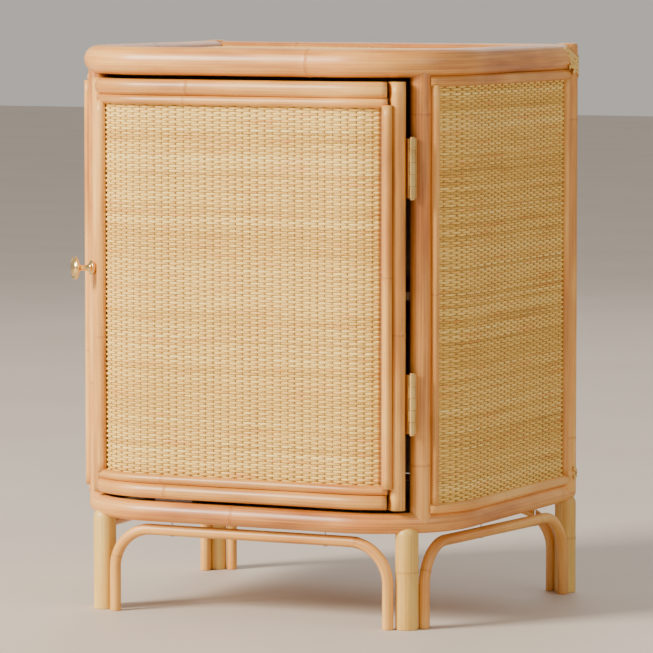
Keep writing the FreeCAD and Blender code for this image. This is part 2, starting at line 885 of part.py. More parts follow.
def hinge(word, level):
    """One butt hinge: two leaves with alternating knuckles, a pin and six screws."""
    length = size("hinge_length")
    low = level - length * 0.5
    high = level + length * 0.5
    leaf = size("leaf")
    post_face = size("front_post_pole") - 0.9
    door_face = size("door_gap_hinge")
    reach_in, reach_out = size("hinge_reach") - 15.5, size("hinge_reach")
    frame = local_plate(word + "_frame_plate", reach_in, reach_out, post_face, post_face + leaf,
                        low, high)
    door_plate = local_plate(word + "_door_plate", reach_in, reach_out, door_face - leaf,
                             door_face, low, high)
    step = length * 0.2
    rods = {"frame": [], "door": []}
    clears = {"frame": [], "door": []}
    for i in range(5):
        owner = "frame" if i % 2 == 0 else "door"
        other = "door" if i % 2 == 0 else "frame"
        z0 = low + step * i
        rods[owner].append(knuckle_rod("%s_knuckle_%d" % (word, i), size("knuckle"),
                                       z0 + 0.2, z0 + step - 0.2))
        clears[other].append(knuckle_rod("%s_relief_%d" % (word, i), size("knuckle") + 0.4,
                                         z0 - 0.2, z0 + step + 0.2))
    bore = knuckle_rod(word + "_bore", size("pin") + 0.05, low - 2.0, high + 2.0)
    screws = {"frame": [], "door": []}
    for i in (-1, 0, 1):
        z = level + number(22.0 * i)
        screws["frame"].append(countersunk("%s_frame_screw_%d" % (word, i + 1), 1,
                                           size("corner_radius"), post_face + leaf, -1, z))
        screws["door"].append(countersunk("%s_door_screw_%d" % (word, i + 1), 1,
                                          size("corner_radius") + 1.5, door_face - leaf, 1, z))
    for part, plate in (("frame", frame), ("door", door_plate)):
        relieved = cut("%s_%s_relieved" % (word, part), plate, clears[part])
        solid = fuse("%s_%s_joined" % (word, part), [relieved] + rods[part])
        cut("%s_hinge_%s_leaf" % (word, part), solid, [bore] + screws[part])
    shaft = knuckle_rod(word + "_shaft", size("pin"), low - 0.8, high + 0.8)
    caps = [knuckle_rod(word + "_cap_low", size("pin") + 1.3, low - 1.8, low + 0.0),
            knuckle_rod(word + "_cap_high", size("pin") + 1.3, high - 0.0, high + 1.8)]
    fuse(word + "_hinge_pin", [shaft] + caps)
    return screws, frame


# ---------------------------------------------------------------- knob and catch

def knob_frame(distance):
    """Position and outward direction of the knob on the latch stile."""
    angle = math.radians(SIZES["front_post_angle"])
    offset = SIZES["door_gap_latch"] + SIZES["stile_width"] * 0.5
    tilt = math.asin(offset / (SIZES["corner_radius"] + SIZES["door_outer"]))
    total = angle + tilt
    out = FreeCAD.Vector(-math.cos(total), -math.sin(total), 0)
    base = FreeCAD.Vector(SIZES["corner_radius"] - SIZES["half_width"],
                          SIZES["corner_radius"] - SIZES["front_depth"], SIZES["knob_level"])
    return base + out * distance, out


def turned(name, profile, distance):
    """Turned piece on the knob's axis, its foot at the given distance."""
    owner = body(name)
    half = sketch(owner, name + "_half", "XZ_Plane")
    polygon(half, [(number(r), number(h)) for r, h in profile])
    base = revolve(owner, half)
    point, out = knob_frame(distance)
    owner.Placement = FreeCAD.Placement(point, FreeCAD.Rotation(FreeCAD.Vector(0, 0, 1), out))
    return owner, base


def knob():
    """Brass knob with a round foot, and the machine screw through the stile that holds it."""
    face = SIZES["corner_radius"] + SIZES["door_outer"]
    head = SIZES["knob_head"]
    owner, base = turned("knob_blank", [(0, -0.35), (8.0, -0.35), (8.2, 2.0), (6.6, 3.6), (3.4, 5.0),
                                        (2.8, 8.0), (3.6, 14.8), (8.8, 16.6), (head, 18.6),
                                        (head, 21.2), (9.8, 22.8), (0, 23.6)], face)
    round_edges(owner, base, lambda e: abs(e.Length - 2 * math.pi * head) < 0.01, 1.0)
    screw = turned("knob_screw", [(0, -20.4), (2.6, -20.4), (3.8, -19.4), (3.8, -18.0),
                                  (2.0, -18.0), (2.0, 9.0), (0, 9.0)], face)[0]
    screw.Label = "knob_screw"
    seat = DOC.getObject("door_latch_stile")
    seat.Label = "door_latch_stile_blank"
    cut("knob", owner, [screw, seat])
    cut("door_latch_stile", seat, [screw])


def block(name, corner_at, lengths):
    """Rectangular block from its lowest corner and its three lengths."""
    item = DOC.addObject("Part::Box", name)
    for prop, value in zip(("Length", "Width", "Height"), lengths):
        item.setExpression(prop, number(value).text)
    place(item, *[number(value) for value in corner_at])
    item.Label = name
    return item


def catch(bottom):
    """Magnetic catch standing on the bottom board, and its steel plate on the door's rail."""
    inner_face = size("door_outer") - size("door_thick")
    rail_back = -(size("front_depth") + inner_face)
    floor = size("bottom_board_level") + size("board")
    body_block = block("catch_block", (-110.0, rail_back + 1.9, floor), (44.0, 16.0, 22.0))
    cut("catch_body", body_block, [bottom])
    block("catch_plate", (-104.0, rail_back, size("door_low") + 2.0), (32.0, 1.5, 12.0))


def case_boards(bottom, top, low_rail, high_rail, rear):
    """Top, bottom and middle boards and the woven sheet let into the top."""
    back = size("rear_post_back") - 6.0
    board = size("board")
    flat_board("top_panel", size("top_pole") - 4.0, back, size("top_board_level"), board,
               [top, high_rail] + rear)
    flat_board("top_weave", size("top_pole") - 4.0, back, size("top_board_level") + board,
               size("weave"), [top, high_rail] + rear)
    right = "front_right_post_pole"
    for side, word in ((-1, "left"), (1, "right")):
        name = "front_%s_post" % word
        owner = upright(name + "_pole", size("front_post_pole"), size("top_level"),
                        size("bottom_level"))[0]
        reach = size("corner_radius" if side > 0 else "latch_post_reach")
        place(owner, *corner(side, reach, -post_shift(side)))
    front = [DOC.getObject("front_left_post_pole"), DOC.getObject(right)]
    flat_board("bottom_panel", size("bottom_pole") - 2.5, back, size("bottom_board_level"), board,
               [bottom, low_rail] + rear + front)
    shelf(front + rear)
    cleats()


def hinges(bottom, top):
    """Both hinges, with the posts and stile that their leaves and screws are let into."""
    upper, upper_plate = hinge("upper", size("upper_hinge_level"))
    lower, lower_plate = hinge("lower", size("lower_hinge_level"))
    group("frame_hinge_screws", upper["frame"] + lower["frame"])
    group("door_hinge_screws", upper["door"] + lower["door"])
    seats = [upper_plate, lower_plate] + upper["frame"] + lower["frame"]
    cut("front_left_post", DOC.getObject("front_left_post_pole"), [bottom, top])
    cut("front_right_post", DOC.getObject("front_right_post_pole"), [bottom, top] + seats)
    stile = DOC.getObject("door_hinge_stile")
    stile.Label = "door_hinge_stile_blank"
    cut("door_hinge_stile", stile, upper["door"] + lower["door"])


def leg_arches(poles):
    """Arches with their pins; the pins' holes run on into the poles above."""
    made = arches()
    pins = arch_pins()
    group("arch_pins", pins)
    for name, blank in list(made.items()) + list(poles.items()):
        cut(name, blank, pins)


def make_all():
    """Build every sub-part in the order in which they bear on each other."""
    fill_sheet()
    posts = rear_posts()
    rear = [posts["left"], posts["right"]]
    bottom = hoop_pole("bottom_hoop_pole", size("bottom_level"), size("bottom_pole"),
                       size("bottom_hoop_end"))
    top_pole = hoop_pole("top_hoop_pole", size("top_level"), size("top_pole"), size("hoop_end"))
    top = cut("top_hoop", top_pole, rear)
    low_rail = back_rail("bottom_back_rail_blank", size("bottom_level"),
                         size("bottom_rail_pole"), size("half_width") - 9.8, [bottom])
    high_rail = back_rail("top_back_rail", size("top_level"), size("top_rail_pole"),
                          size("rear_post_side"), rear + [top_pole])
    for word, post in posts.items():
        cut("rear_%s_post" % word, post, [bottom])
    legs(bottom)
    case_boards(bottom, top, low_rail, high_rail, rear)
    door()
    hinges(bottom, top)
    side_walls(posts, [bottom, top])
    back_wall(posts)
    bindings()
    leg_arches({"bottom_hoop": bottom, "bottom_back_rail": low_rail})
    knob()
    catch(bottom)


NODES = [
    "top_hoop", "bottom_hoop", "top_back_rail", "bottom_back_rail",
    "rear_left_post", "rear_right_post", "front_left_post", "front_right_post",
    "front_left_leg", "front_right_leg", "rear_left_leg", "rear_right_leg",
    "front_arch", "back_arch", "left_arch", "right_arch", "arch_pins",
    "top_panel", "top_weave", "bottom_panel", "shelf", "shelf_cleats",
    "left_side_panel", "right_side_panel", "left_side_weave", "right_side_weave",
    "left_side_beading", "right_side_beading",
    "back_panel", "back_weave", "back_beading", "corner_bindings",
    "door_top_rail", "door_bottom_rail", "door_hinge_stile", "door_latch_stile",
    "door_beading", "door_panel", "door_weave",
    "upper_hinge_frame_leaf", "upper_hinge_door_leaf", "upper_hinge_pin",
    "lower_hinge_frame_leaf", "lower_hinge_door_leaf", "lower_hinge_pin",
    "frame_hinge_screws", "door_hinge_screws",
    "knob", "knob_screw", "catch_body", "catch_plate",
]


def by_label(label):
    """The object whose label is the name of a sub-part."""
    found = [o for o in DOC.Objects if o.Label == label]
    if len(found) != 1:
        raise RuntimeError("%d objects are labelled %s" % (len(found), label))
    return found[0]


def export_all():
    """Check every object, then write one file for each sub-part."""
    DOC.recompute()
    for item in DOC.Objects:
        if "Invalid" in item.State or "Error" in item.State:
            raise RuntimeError("%s is %s" % (item.Name, item.State))
    os.makedirs("parts", exist_ok=True)
    for label in NODES:
        shape = by_label(label).Shape
        if shape.isNull() or not shape.isValid() or shape.Volume <= 0:
            raise RuntimeError("%s has no valid shape" % label)
        shape.exportStep("parts/%s.step" % label)


make_all()
export_all()
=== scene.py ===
"""Looks of a small rattan side cabinet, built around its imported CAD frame.

Plan lengths in this file are millimetres, as on the drawing; meshes are made in metres.
"""
import math

import bpy
import numpy as np
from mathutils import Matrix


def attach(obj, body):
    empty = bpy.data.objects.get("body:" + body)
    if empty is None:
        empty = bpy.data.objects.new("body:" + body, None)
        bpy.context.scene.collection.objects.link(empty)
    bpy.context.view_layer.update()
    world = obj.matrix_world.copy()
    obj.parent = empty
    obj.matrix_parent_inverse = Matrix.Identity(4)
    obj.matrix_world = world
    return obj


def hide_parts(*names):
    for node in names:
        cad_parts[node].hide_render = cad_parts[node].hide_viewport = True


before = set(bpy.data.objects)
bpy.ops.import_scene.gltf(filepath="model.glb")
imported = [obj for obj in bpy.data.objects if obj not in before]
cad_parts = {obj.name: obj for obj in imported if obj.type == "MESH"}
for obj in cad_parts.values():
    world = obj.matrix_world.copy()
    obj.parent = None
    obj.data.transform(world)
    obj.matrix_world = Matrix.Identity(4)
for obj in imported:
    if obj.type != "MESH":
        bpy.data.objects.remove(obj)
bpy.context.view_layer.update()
RANDOM = np.random.RandomState(41)
MM = 0.001

# ---------------------------------------------------------------- sizes of the frame

HALF_FRONT = 112.5      # half the straight run of the front
CORNER = 100.0          # radius of the front corners, on the centre line
HALF_WIDTH = HALF_FRONT + CORNER
FRONT = -176.0
CORNER_Y = FRONT + CORNER
QUARTER = math.pi / 2
POST_ANGLE = math.radians(41.4)
UP = np.array([0.0, 0.0, 1.0])

TOP_Z, TOP_R, TOP_RAIL_R = 584.7, 15.3, 14.5
LOW_Z, LOW_R, LOW_RAIL_R = 110.2, 11.4, 11.0
REAR_X, REAR_Y, REAR_R = 215.0, 176.0, 12.0
DOOR_LOW, DOOR_HIGH = 124.7, 565.7
DOOR_FACE, DOOR_THICK = 11.4, 18.0
RAIL, LOW_RAIL, STILE, DOOR_BEAD = 16.7, 15.5, 15.0, 10.0
GAPS = {1: 19.4, -1: 0.8}
POST_SHIFT = {1: 0.0, -1: 14.5}
POST_REACH = {1: CORNER, -1: 98.5}
WALL_LOW, WALL_HIGH = 121.6, 569.2
LEG_R, ARCH_R, ARCH_BEND = 12.5, 6.0, 43.0
ARCH_TOP, SIDE_ARCH_TOP = 89.4, 87.6
SIDE_ARCH_X, SIDE_ARCH_Y, SIDE_ARCH_HALF = 205.6, 8.3, 150.4
SIDE_ARCH_TURN = math.radians(84.7)
LEG_X, LEG_Y, LEG_TOP = 177.7, -153.9, 106.5
FRONT_POST_R, REAR_POST_TOP, LOW_RAIL_END = 11.5, 600.0, 202.7
TOP_HOOP_END, LOW_HOOP_END = 168.0, 187.0       # how far back the sides of the hoops reach
FRONT_ARCH, FRONT_ARCH_HALF = (1.5, -166.0), 160.0
BACK_ARCH, BACK_ARCH_HALF = (0, 179.4), 196.9
SIDE_BEAD_START, SIDE_BEAD = -17.5, 9.0         # bead beside a front post, towards the door
KNOB_LEVEL = 364.0


def plan(t, off):
    """Point and outward direction on the plan line that runs off outside the centre line.

    t is the distance along that line from the middle of the front, positive to the right.
    """
    t = np.asarray(t, float)
    off = np.broadcast_to(np.asarray(off, float), t.shape)
    a, sign = np.abs(t), np.where(t < 0, -1.0, 1.0)
    r = CORNER + off
    bend = np.clip((a - HALF_FRONT) / r, 0.0, QUARTER)
    rest = np.maximum(a - HALF_FRONT - r * QUARTER, 0.0)
    x = np.minimum(a, HALF_FRONT) + r * np.sin(bend)
    y = CORNER_Y - r * np.cos(bend) + rest
    point = np.stack([x * sign, y, np.zeros_like(x)], -1)
    out = np.stack([np.sin(bend) * sign, -np.cos(bend), np.zeros_like(x)], -1)
    return point, out


def plan_end(y, off):
    """Distance along a plan line at which its side reaches y."""
    return HALF_FRONT + (CORNER + off) * QUARTER + y - CORNER_Y


def plan_door(side, offset, off):
    """Distance along a plan line at which it meets a plane set off from a front post."""
    r = CORNER + off
    bend = QUARTER - POST_ANGLE - math.asin(offset / r)
    return side * (HALF_FRONT + r * bend)


def post_axes(side):
    """Corner centre, outward direction and direction towards the door at a front post."""
    centre = np.array([side * HALF_FRONT, CORNER_Y, 0.0])
    out = np.array([side * math.cos(POST_ANGLE), -math.sin(POST_ANGLE), 0.0])
    door = np.array([-side * math.sin(POST_ANGLE), -math.cos(POST_ANGLE), 0.0])
    return centre, out, door


# ---------------------------------------------------------------- mesh building

class Builder:
    """Collects strips and tubes into one mesh, with grain, tone and ring for the shader."""

    def __init__(self):
        self.points, self.faces = [], []
        self.grain, self.tone, self.ring = [], [], []
        self.count = 0
        self.seed = 0.0

    def _store(self, points, faces, grain, tone, ring):
        self.points.append(points.reshape(-1, 3) * MM)
        self.faces.extend(faces)
        self.grain.append(grain.reshape(-1, 3) * MM)
        self.tone.append(np.asarray(tone, float).reshape(-1))
        self.ring.append(np.asarray(ring, float).reshape(-1))
        self.count += len(self.points[-1])

    def skin(self, grids, grain, tone, ring, caps=True):
        """Closed strips: grids is (strips, stations, sides, 3)."""
        strips, stations, sides = grids.shape[:3]
        index = self.count + np.arange(strips * stations * sides)
        index = index.reshape(strips, stations, sides)
        after = np.roll(index, -1, axis=2)
        quads = np.stack([index[:, :-1], after[:, :-1], after[:, 1:], index[:, 1:]], -1)
        faces = quads.reshape(-1, 4).tolist()
        if caps:
            faces.extend(index[:, 0, ::-1].tolist())
            faces.extend(index[:, -1].tolist())
        self._store(grids, faces, grain, tone, ring)

    def sweep(self, path, axis, profile, scale=None, rings=(), tone=0.5, wave=0.0):
        """Sweep a closed profile along a path; axis is the profile's first direction."""
        path = np.asarray(path, float)
        along = np.concatenate([[0.0], np.cumsum(np.linalg.norm(np.diff(path, axis=0), axis=1))])
        tangent = np.gradient(path, axis=0)
        tangent /= np.linalg.norm(tangent, axis=1)[:, None]
        first = np.broadcast_to(np.asarray(axis, float), path.shape)
        first = first - tangent * (first * tangent).sum(1)[:, None]
        first /= np.linalg.norm(first, axis=1)[:, None]
        second = np.cross(tangent, first)
        profile = np.asarray(profile, float)
        size = np.ones(len(path)) if scale is None else np.asarray(scale, float)
        shape = profile[None] * size[:, None, None]
        ring = np.zeros(len(path))
        for spot in rings:
            away = along - spot
            swell = np.exp(-(away / 2.2) ** 2)
            ring = np.maximum(ring, np.exp(-(away / 1.1) ** 2))
            shape = shape * (1 + 0.022 * swell - 0.008 * np.exp(-((away - 3.2) / 1.6) ** 2))[:, None, None]
        if wave:
            angle = np.arctan2(profile[:, 1], profile[:, 0])
            phase = RANDOM.rand(6) * 6.28
            bumps = (np.sin(along[:, None] / 31.0 + phase[0] + angle * 2)
                     + np.sin(along[:, None] / 17.0 + phase[1] - angle)
                     + 0.6 * np.sin(along[:, None] / 73.0 + phase[2] + angle))
            shape = shape * (1 + wave * bumps / 2.6)[:, :, None]
        grid = path[:, None] + shape[:, :, :1] * first[:, None] + shape[:, :, 1:] * second[:, None]
        self.seed += 730.0
        grain = np.concatenate([np.broadcast_to((along + self.seed)[:, None, None], shape[:, :, :1].shape),
                                shape], -1)
        full = np.broadcast_to(ring[:, None], grid.shape[:2])
        tones = np.broadcast_to(np.asarray(tone, float).reshape(-1, 1), grid.shape[:2])
        self.skin(grid[None], grain, tones, full)

    def make(self, name, material, body, slot, *nodes, smooth=True):
        """Turn the collected strips into an object that rides on a body."""
        mesh = bpy.data.meshes.new(name)
        mesh.from_pydata(np.concatenate(self.points), [], self.faces)
        for word, kind, values in (("grain", "FLOAT_VECTOR", self.grain), ("tone", "FLOAT", self.tone),
                                   ("ring", "FLOAT", self.ring)):
            layer = mesh.attributes.new(word, kind, "POINT")
            key = "vector" if kind == "FLOAT_VECTOR" else "value"
            layer.data.foreach_set(key, np.concatenate(values).astype(np.float32).ravel())
        mesh.polygons.foreach_set("use_smooth", np.full(len(mesh.polygons), smooth))
        mesh.materials.append(material)
        mesh.update()
        item = bpy.data.objects.new(name, mesh)
        bpy.context.scene.collection.objects.link(item)
        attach(item, body)
        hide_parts(*nodes)
        return item


def circle(radius, sides=28, turn=math.pi):
    """Round profile whose first point faces away from the profile's first direction."""
    a = turn + np.arange(sides) * 2 * math.pi / sides
    return np.stack([np.cos(a), np.sin(a)], -1) * radius


def crowned(a0, a1, back, face, round_a, round_b, steps=7):
    """Profile from a0 to a1 wide, flat at the back, with round front edges."""
    turn = np.linspace(0.0, QUARTER, steps)
    right = np.stack([a1 - round_a + round_a * np.cos(turn), face - round_b + round_b * np.sin(turn)], -1)
    left = np.stack([a0 + round_a - round_a * np.cos(turn[::-1]),
                     face - round_b + round_b * np.sin(turn[::-1])], -1)
    return np.concatenate([[[a1, back]], right, left, [[a0, back]]])


def spots(length, first, gap, seed):
    """Places of the growth rings along a pole."""
    source = np.random.RandomState(seed)
    found, at = [], first
    while at < length - 12:
        found.append(at)
        at += gap * (0.75 + 0.5 * source.rand())
    return found


def stations(length, coarse, rings=(), ends=()):
    """Distances along a pole, closer together at its rings and rounded ends."""
    values = list(np.linspace(0, length, max(2, int(round(length / coarse)) + 1)))
    for spot in rings:
        values += [spot + d for d in (-5, -2.6, -1.4, -0.7, 0, 0.7, 1.4, 2.6, 4.2, 6.5)]
    values += list(ends)
    values = np.array(sorted(v for v in values if 0 <= v <= length))
    keep = np.concatenate([[True], np.diff(values) > 0.12])
    keep[-1] = True
    return values[keep]


# ---------------------------------------------------------------- materials

def material(name):
    """Empty node material with its shader."""
    made = bpy.data.materials.new(name)
    made.use_nodes = True
    made.node_tree.nodes.clear()
    tree = made.node_tree
    out = tree.nodes.new("ShaderNodeOutputMaterial")
    shader = tree.nodes.new("ShaderNodeBsdfPrincipled")
    tree.links.new(shader.outputs["BSDF"], out.inputs["Surface"])
    return made, tree, shader


def node(tree, kind, **values):
    """Add a node; values are its properties or its input sockets."""
    made = tree.nodes.new(kind)
    for key, value in values.items():
        if hasattr(made, key):
            setattr(made, key, value)
        else:
            made.inputs[key.replace("_", " ")].default_value = value
    return made


def math_node(tree, operation, a, b):
    """Arithmetic on sockets or plain numbers."""
    made = node(tree, "ShaderNodeMath", operation=operation)
    for slot_index, value in enumerate((a, b)):
        if hasattr(value, "is_output"):
            tree.links.new(value, made.inputs[slot_index])
        else:
            made.inputs[slot_index].default_value = value
    return made.outputs[0]


def noise(tree, vector, scale, detail=2.0, size=1.0, rough=0.5):
    """Noise over a stretched coordinate."""
    stretch = node(tree, "ShaderNodeMapping")
    stretch.inputs["Scale"].default_value = scale
    tree.links.new(vector, stretch.inputs["Vector"])
    made = node(tree, "ShaderNodeTexNoise", Scale=size, Detail=detail, Roughness=rough)
    tree.links.new(stretch.outputs[0], made.inputs["Vector"])
    return made.outputs["Fac"]


def ramp(tree, factor, stops):
    """Colour ramp over a factor."""
    made = node(tree, "ShaderNodeValToRGB")
    elements = made.color_ramp.elements
    while len(elements) < len(stops):
        elements.new(0.5)
    for element, (place, colour) in zip(elements, stops):
        element.position = place
        element.color = (*colour, 1.0)
    tree.links.new(factor, made.inputs["Fac"])
    return made.outputs["Color"]


def mix(tree, blend, factor, a, b):
    """Mix two colours."""
    made = node(tree, "ShaderNodeMix", data_type="RGBA", blend_type=blend)
    for key, value in ((0, factor), (6, a), (7, b)):
        if hasattr(value, "is_output"):
            tree.links.new(value, made.inputs[key])
        else:
            made.inputs[key].default_value = value
    return made.outputs[2]


def bump(tree, shader, height, distance, strength=1.0):
    """Raise the surface by a height map."""
    made = node(tree, "ShaderNodeBump", Strength=strength, Distance=distance)
    tree.links.new(height, made.inputs["Height"])
    tree.links.new(made.outputs["Normal"], shader.inputs["Normal"])


def cane(name, stops, flush, ring_tint, rough=(0.38, 0.55), streak=0.34, blotch=0.3, tone=0.4,
         coat=0.12, relief=0.00012, flush_at=(0.5, 0.75), flush_scale=(9, 30, 30)):
    """Rattan: long fibres, blotches, a darker scar at each ring and fine pores."""
    made, tree, shader = material(name)
    grain = node(tree, "ShaderNodeAttribute", attribute_name="grain").outputs["Vector"]
    tones = node(tree, "ShaderNodeAttribute", attribute_name="tone").outputs["Fac"]
    rings = node(tree, "ShaderNodeAttribute", attribute_name="ring").outputs["Fac"]
    fibre = noise(tree, grain, (7, 620, 620), 3.0)
    patch = noise(tree, grain, (14, 60, 60), 2.0)
    wide = noise(tree, grain, flush_scale, 1.0)
    pore = noise(tree, grain, (240, 2600, 2600), 1.0)
    value = 0.5
    for source, share in ((fibre, streak), (patch, blotch), (tones, tone)):
        swing = math_node(tree, "MULTIPLY", math_node(tree, "SUBTRACT", source, 0.5), share * 2)
        value = math_node(tree, "ADD", value, swing)
    colour = ramp(tree, value, stops)
    warm = node(tree, "ShaderNodeMapRange")
    warm.inputs["From Min"].default_value, warm.inputs["From Max"].default_value = flush_at
    tree.links.new(wide, warm.inputs["Value"])
    colour = mix(tree, "MIX", warm.outputs[0], colour, mix(tree, "MULTIPLY", 1.0, colour, (*flush, 1)))
    dark = node(tree, "ShaderNodeMapRange")
    dark.inputs["From Min"].default_value, dark.inputs["From Max"].default_value = 0.60, 0.72
    dark.inputs["To Max"].default_value = 0.35
    tree.links.new(pore, dark.inputs["Value"])
    colour = mix(tree, "MULTIPLY", dark.outputs[0], colour, (0.62, 0.45, 0.30, 1))
    colour = mix(tree, "MULTIPLY", math_node(tree, "MULTIPLY", rings, 0.45), colour, (*ring_tint, 1))
    tree.links.new(colour, shader.inputs["Base Color"])
    gloss = node(tree, "ShaderNodeMapRange")
    gloss.inputs["To Min"].default_value, gloss.inputs["To Max"].default_value = rough
    tree.links.new(patch, gloss.inputs["Value"])
    tree.links.new(gloss.outputs[0], shader.inputs["Roughness"])
    shader.inputs["Coat Weight"].default_value = coat
    shader.inputs["Coat Roughness"].default_value = 0.3
    height = math_node(tree, "SUBTRACT", fibre, math_node(tree, "MULTIPLY", rings, 0.5))
    bump(tree, shader, height, relief)
    return made


def plywood(name, light, dark):
    """Plain veneered board: grain lines along X with soft figure."""
    made, tree, shader = material(name)
    where = node(tree, "ShaderNodeTexCoord").outputs["Object"]
    figure = noise(tree, where, (2.2, 16, 9), 3.0)
    lines = noise(tree, where, (14, 420, 300), 3.0)
    value = math_node(tree, "ADD", math_node(tree, "MULTIPLY", figure, 0.6),
                      math_node(tree, "MULTIPLY", lines, 0.4))
    tree.links.new(ramp(tree, value, [(0.3, dark), (0.7, light)]), shader.inputs["Base Color"])
    shader.inputs["Roughness"].default_value = 0.62
    bump(tree, shader, lines, 0.0001)
    return made


def metal(name, light, dark, rough, brush=(60, 60, 60)):
    """Metal with slight tarnish and fine brushing."""
    made, tree, shader = material(name)
    where = node(tree, "ShaderNodeTexCoord").outputs["Object"]
    tarnish = noise(tree, where, (45, 45, 45), 3.0)
    scratch = noise(tree, where, brush, 3.0)
    tree.links.new(ramp(tree, tarnish, [(0.3, dark), (0.65, light)]), shader.inputs["Base Color"])
    shader.inputs["Metallic"].default_value = 1.0
    gloss = node(tree, "ShaderNodeMapRange")
    gloss.inputs["To Min"].default_value, gloss.inputs["To Max"].default_value = rough
    tree.links.new(scratch, gloss.inputs["Value"])
    tree.links.new(gloss.outputs[0], shader.inputs["Roughness"])
    bump(tree, shader, scratch, 0.00003)
    return made


def plastic(name, colour):
    """Moulded plastic with a faint grain."""
    made, tree, shader = material(name)
    where = node(tree, "ShaderNodeTexCoord").outputs["Object"]
    grain = noise(tree, where, (900, 900, 900), 2.0)
    low = tuple(c * 0.9 for c in colour)
    tree.links.new(ramp(tree, grain, [(0.3, low), (0.7, colour)]), shader.inputs["Base Color"])
    shader.inputs["Roughness"].default_value = 0.55
    bump(tree, shader, grain, 0.00004)
    return made


POLE = cane("rattan_pole",
            [(0.0, (0.33, 0.10, 0.017)), (0.35, (0.58, 0.215, 0.04)),
             (0.6, (0.78, 0.35, 0.076)), (1.0, (0.96, 0.54, 0.15))],
            (1.0, 0.84, 0.62), (0.5, 0.3, 0.17), streak=0.44, blotch=0.42, coat=0.4)
PALE_POLE = cane("rattan_leg",
                 [(0.0, (0.44, 0.235, 0.045)), (0.35, (0.64, 0.38, 0.078)),
                  (0.6, (0.76, 0.49, 0.115)), (1.0, (0.88, 0.63, 0.19))],
                 (0.98, 0.86, 0.72), (0.6, 0.42, 0.26), streak=0.42, coat=0.25)
SPLIT = cane("split_cane",
             [(0.0, (0.42, 0.15, 0.024)), (0.35, (0.65, 0.285, 0.052)),
              (0.6, (0.82, 0.41, 0.088)), (1.0, (0.96, 0.59, 0.17))],
             (0.98, 0.84, 0.72), (0.55, 0.36, 0.2), streak=0.42, blotch=0.42, coat=0.35)
WEFT = cane("woven_cane",
            [(0.0, (0.56, 0.29, 0.045)), (0.35, (0.80, 0.48, 0.088)),
             (0.6, (0.93, 0.61, 0.14)), (1.0, (1.0, 0.76, 0.25))],
            (1.0, 0.76, 0.72), (0.6, 0.4, 0.3), rough=(0.45, 0.62), streak=0.30, blotch=0.36,
            tone=0.36, coat=0.0, relief=0.00006, flush_at=(0.56, 0.74), flush_scale=(14, 40, 40))
STAKE = cane("woven_stakes",
             [(0.0, (0.38, 0.19, 0.035)), (0.5, (0.54, 0.30, 0.062)), (1.0, (0.70, 0.44, 0.11))],
             (1, 0.9, 0.8), (0.6, 0.4, 0.3), rough=(0.55, 0.7), coat=0.0, relief=0.00006)
BOARD = plywood("veneered_board", (0.66, 0.47, 0.28), (0.50, 0.32, 0.17))
BRASS = metal("brass", (0.90, 0.66, 0.27), (0.76, 0.50, 0.17), (0.16, 0.30))
STEEL = metal("steel", (0.62, 0.62, 0.62), (0.5, 0.5, 0.5), (0.25, 0.42), (700, 60, 60))
CATCH = plastic("catch_plastic", (0.80, 0.77, 0.70))


# ---------------------------------------------------------------- poles

def plan_path(values, z, off=0.0):
    """Plan line as a path at one height."""
    points = plan(values, off)[0]
    points[:, 2] = z
    return points


def end_rounding(along, length, radius, edge, start=True, finish=True):
    """Profile scale that rounds the rim at the ends of a pole."""
    scale = np.ones(len(along))
    for wanted, away in ((start, along), (finish, length - along)):
        if wanted:
            inner = np.clip(away / edge, 0, 1)
            scale = np.minimum(scale, 1 - edge / radius * (1 - np.sqrt(1 - (1 - inner) ** 2)))
    return scale


def hoop(name, z, radius, back, material_used, rounded, seed):
    """Bent pole round three sides of the case."""
    half = plan_end(back, 0.0)
    length = half * 2
    rings = spots(length, 150, 430, seed)
    extra = [v for d in (0.1, 0.4, 0.9, 1.6, 2.5) for v in (d, length - d)] if rounded else []
    along = stations(length, 7.0, rings, extra)
    build = Builder()
    build.seed = seed * 1000.0
    scale = end_rounding(along, length, radius, 2.5) if rounded else None
    tone = 0.5 + 0.30 * np.sin(along / 180.0 + seed) * np.sin(along / 77.0 + 2 * seed)
    build.sweep(plan_path(along - half, z), UP, circle(radius - 0.5, 32), scale, rings, tone, 0.008)
    return build.make(name, material_used, "cabinet", "rattan_pole", name)


def straight(name, start, end, radius, material_used, seed, edge=0.0, domed=0.0, gap=420):
    """Straight pole between two points, its far end rounded or domed when asked."""
    start, end = np.array(start, float), np.array(end, float)
    length = float(np.linalg.norm(end - start))
    rings = spots(length, 60 + 23 * (seed % 4), gap, seed)
    rings = [r for r in rings if r < length - 14]
    tip = max(edge, domed)
    extra = [length - tip * v for v in (1, 0.85, 0.7, 0.55, 0.42, 0.3, 0.2, 0.12, 0.06, 0.02)] if tip else []
    extra += [0.4, 1.0]
    along = stations(length, 14.0, rings, extra)
    scale = end_rounding(along, length, radius, 0.9, True, False)
    if tip:
        away = np.clip((length - along) / tip, 0, 1)
        depth = (edge or 7.0) / radius
        scale = scale * (1 - depth * (1 - np.sqrt(1 - (1 - away) ** 2)))
    path = start + (end - start) * (along / length)[:, None]
    axis = (1, 0, 0) if abs(end[2] - start[2]) > 1 else (0, 0, 1)
    tone = 0.5 + 0.25 * np.sin(along / 120.0 + seed * 1.7)
    build = Builder()
    build.seed = seed * 1000.0
    build.sweep(path, axis, circle(radius - 0.45, 28), scale, rings, tone, 0.007)
    return build.make(name, material_used, "cabinet", "rattan_pole", name)


